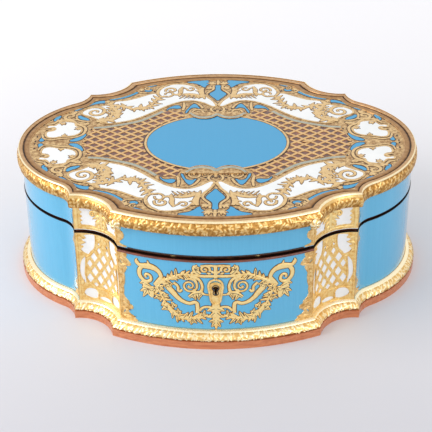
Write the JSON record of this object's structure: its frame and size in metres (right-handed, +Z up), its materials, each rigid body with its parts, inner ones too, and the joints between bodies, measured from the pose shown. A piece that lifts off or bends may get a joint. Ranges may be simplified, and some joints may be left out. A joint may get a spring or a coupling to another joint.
{
  "type": "jewelry casket",
  "caption": "Low serpentine jewelry casket with blue and white marquetry panels, brass inlay, cast gilt mouldings, a padded inside, a hinged lid and a box lock.",
  "frame": {"origin": "underside of the base board, under the middle of the casket", "axes": "+X along the casket's length to the right as seen from the keyhole, +Y to the hinged back, +Z up"},
  "size_m": [0.3604, 0.2884, 0.122],
  "materials": {
    "mahogany": "polished mahogany",
    "carcass_wood": "oiled",
    "gilt_bronze": "cast and gilt",
    "brass": "engraved sheet, lacquered",
    "blue_enamel": "gloss, finely streaked sky-blue horn on its ground",
    "white_enamel": "gloss white veneer",
    "tortoiseshell": "gloss tortoiseshell brown",
    "steel": "filed bright",
    "lining": "padded silk velvet"
  },
  "bodies": {
    "case": {"base_board": "mahogany", "base_moulding_front": "gilt_bronze", "base_moulding_back": "gilt_bronze", "base_moulding_left": "gilt_bronze", "base_moulding_right": "gilt_bronze", "base_moulding_corners": "gilt_bronze", "carcass_front": "carcass_wood", "carcass_back": "carcass_wood", "carcass_left": "carcass_wood", "carcass_right": "carcass_wood", "corner_posts": "carcass_wood", "panel_front": "blue_enamel", "panel_back": "blue_enamel", "panel_left": "blue_enamel", "panel_right": "blue_enamel", "pilaster_panels": "white_enamel", "pilaster_frets": "brass", "leaf_borders": "brass", "front_cartouche": "brass", "escutcheon": "brass", "rim_studs": "brass", "lock_case": "steel", "lock_cover": "brass", "hinge_lower_leaves": "brass", "hinge_pins": "steel", "floor_pad": "lining"},
    "lid": {"lid_rail_front": "carcass_wood", "lid_rail_back": "carcass_wood", "lid_rail_left": "carcass_wood", "lid_rail_right": "carcass_wood", "lid_corner_blocks": "carcass_wood", "lid_board": "carcass_wood", "lid_panel_front": "blue_enamel", "lid_panel_back": "blue_enamel", "lid_panel_left": "blue_enamel", "lid_panel_right": "blue_enamel", "lid_pilaster_panels": "white_enamel", "lid_moulding_front": "gilt_bronze", "lid_moulding_back": "gilt_bronze", "lid_moulding_left": "gilt_bronze", "lid_moulding_right": "gilt_bronze", "lid_moulding_corners": "gilt_bronze", "top_border": "brass", "top_ground": "blue_enamel", "white_panels": "white_enamel", "trellis_panels": "tortoiseshell", "trellis_nets": "brass", "centre_oval": "blue_enamel", "oval_frame": "brass", "hinge_upper_leaves": "brass", "link_plate": "brass", "lid_lining": "lining"},
    "bolt": {"lock_bolt": "steel"}
  },
  "joints": [
    {"name": "lid_hinge", "type": "hinge", "parent": "case", "child": "lid", "pos_m": [0, 0.1388, 0.08325], "axis": [-1, 0, 0], "range_deg": [0, 100]},
    {"name": "lock_bolt_slide", "type": "slide", "parent": "case", "child": "bolt", "axis": [1, 0, 0], "range_m": [0, 0.0036]}
  ]
}
